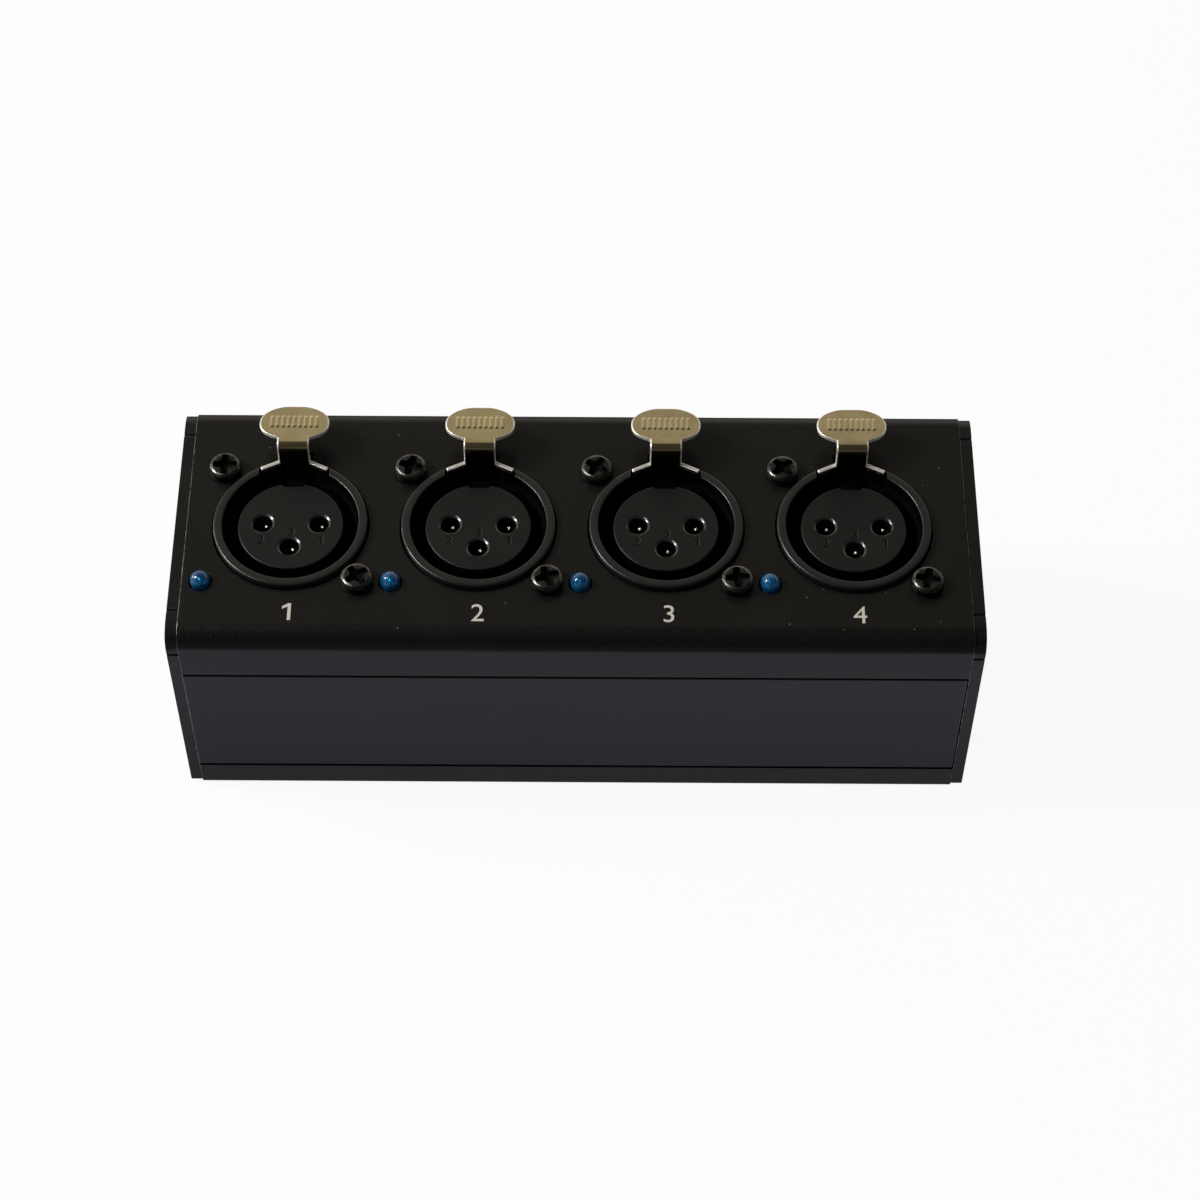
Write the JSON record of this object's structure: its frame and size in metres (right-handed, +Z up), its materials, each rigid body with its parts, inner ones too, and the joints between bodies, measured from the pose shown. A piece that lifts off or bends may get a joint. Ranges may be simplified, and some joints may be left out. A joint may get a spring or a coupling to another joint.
{
  "type": "network to stage-lighting control interface",
  "caption": "Small black aluminium box with a row of round three-pole lighting sockets, sprung release levers and status lamps on top, network and supply jacks at one end.",
  "frame": {"origin": "bottom centre of the box, on the surface it stands on", "axes": "+X along the row of sockets to the jacks' end, +Y to the back, +Z up out of the socket face"},
  "size_m": [0.12, 0.043, 0.0452],
  "materials": {
    "body_anodised": "fine blasted, black anodised",
    "cover_anodised": "fine blasted, black anodised",
    "end_plate_anodised": "fine blasted, black anodised",
    "end_screw_steel": "zinc-plated",
    "socket_nylon": "moulded, slightly satin",
    "insert_plastic": "moulded, matte",
    "contact_brass": "silver-plated",
    "black_screw": "black oxide",
    "spring_steel": "drawn wire",
    "lever_nickel": "nickel-plated sheet",
    "blue_lamp": "clear tinted resin",
    "solder_mask": "solder mask on glass laminate",
    "chip_moulding": "moulded",
    "jack_shield": "tinned sheet",
    "gold_wire": "gold-plated",
    "supply_pin": "nickel-plated",
    "jack_moulding": "moulded"
  },
  "bodies": {
    "box": {"body_shell": "body_anodised", "front_cover": "cover_anodised", "end_plate_left": "end_plate_anodised", "end_plate_right": "end_plate_anodised", "end_screw_left_1": "end_screw_steel", "end_screw_left_2": "end_screw_steel", "end_screw_left_3": "end_screw_steel", "end_screw_left_4": "end_screw_steel", "end_screw_right_1": "end_screw_steel", "end_screw_right_2": "end_screw_steel", "end_screw_right_3": "end_screw_steel", "end_screw_right_4": "end_screw_steel", "socket_shell_1": "socket_nylon", "contact_insert_1": "insert_plastic", "socket_contact_1_1": "contact_brass", "socket_contact_1_2": "contact_brass", "socket_contact_1_3": "contact_brass", "socket_screw_1_1": "black_screw", "socket_screw_1_2": "black_screw", "latch_spring_1": "spring_steel", "status_led_1": "blue_lamp", "socket_shell_2": "socket_nylon", "contact_insert_2": "insert_plastic", "socket_contact_2_1": "contact_brass", "socket_contact_2_2": "contact_brass", "socket_contact_2_3": "contact_brass", "socket_screw_2_1": "black_screw", "socket_screw_2_2": "black_screw", "latch_spring_2": "spring_steel", "status_led_2": "blue_lamp", "socket_shell_3": "socket_nylon", "contact_insert_3": "insert_plastic", "socket_contact_3_1": "contact_brass", "socket_contact_3_2": "contact_brass", "socket_contact_3_3": "contact_brass", "socket_screw_3_1": "black_screw", "socket_screw_3_2": "black_screw", "latch_spring_3": "spring_steel", "status_led_3": "blue_lamp", "socket_shell_4": "socket_nylon", "contact_insert_4": "insert_plastic", "socket_contact_4_1": "contact_brass", "socket_contact_4_2": "contact_brass", "socket_contact_4_3": "contact_brass", "socket_screw_4_1": "black_screw", "socket_screw_4_2": "black_screw", "latch_spring_4": "spring_steel", "status_led_4": "blue_lamp", "main_board": "solder_mask", "controller_chip": "chip_moulding", "line_driver_chip": "chip_moulding", "ethernet_shield": "jack_shield", "ethernet_body": "jack_moulding", "ethernet_contacts": "gold_wire", "dc_jack_body": "jack_moulding", "dc_jack_pin": "supply_pin"},
    "lever_1": {"latch_1": "lever_nickel"},
    "lever_2": {"latch_2": "lever_nickel"},
    "lever_3": {"latch_3": "lever_nickel"},
    "lever_4": {"latch_4": "lever_nickel"}
  },
  "joints": [
    {"name": "latch_1_press", "type": "hinge", "parent": "box", "child": "lever_1", "pos_m": [-0.0427, 0.01035, 0.027], "axis": [-1, 0, 0], "range_deg": [0, 8], "stiffness_Nm_per_rad": 0.05, "springref_deg": -17.19, "deforming": ["latch_spring_1"]},
    {"name": "latch_2_press", "type": "hinge", "parent": "box", "child": "lever_2", "pos_m": [-0.0147, 0.01035, 0.027], "axis": [-1, 0, 0], "range_deg": [0, 8], "stiffness_Nm_per_rad": 0.05, "springref_deg": -17.19, "deforming": ["latch_spring_2"]},
    {"name": "latch_3_press", "type": "hinge", "parent": "box", "child": "lever_3", "pos_m": [0.0133, 0.01035, 0.027], "axis": [-1, 0, 0], "range_deg": [0, 8], "stiffness_Nm_per_rad": 0.05, "springref_deg": -17.19, "deforming": ["latch_spring_3"]},
    {"name": "latch_4_press", "type": "hinge", "parent": "box", "child": "lever_4", "pos_m": [0.0413, 0.01035, 0.027], "axis": [-1, 0, 0], "range_deg": [0, 8], "stiffness_Nm_per_rad": 0.05, "springref_deg": -17.19, "deforming": ["latch_spring_4"]}
  ]
}
